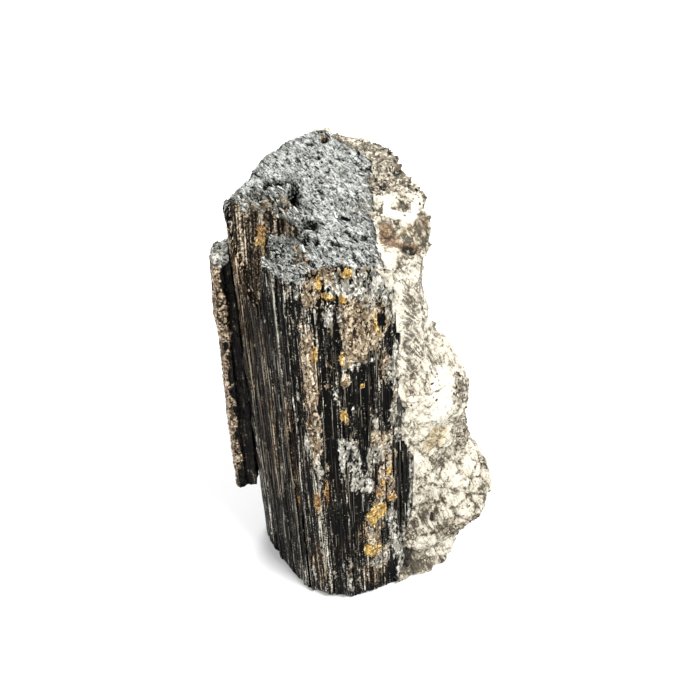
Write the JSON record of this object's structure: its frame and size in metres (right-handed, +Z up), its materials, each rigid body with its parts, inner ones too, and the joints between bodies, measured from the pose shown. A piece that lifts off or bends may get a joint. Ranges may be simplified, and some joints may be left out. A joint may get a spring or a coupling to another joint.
{
  "type": "black tourmaline crystal specimen",
  "caption": "Stout striated black tourmaline (schorl) prism with a broken sloping top, a slim crystal grown beside it and pale feldspar, quartz and mica matrix down its right side.",
  "frame": {"origin": "on the surface the specimen stands on, under the middle of its bounding box", "axes": "+Z up along the prism, -Y towards the striated front, +X towards the matrix"},
  "size_m": [0.0672, 0.0522, 0.1125],
  "materials": {
    "schorl": "vitreous, striated, with brown and tan crust and a grey granular broken top",
    "side_schorl": "striated, crusted with brown and beige mica",
    "feldspar": "cream to white, granular and blocky, with grey mica"
  },
  "bodies": {
    "root": {"main_crystal": "schorl", "side_crystal": "side_schorl", "matrix": "feldspar"}
  },
  "joints": []
}
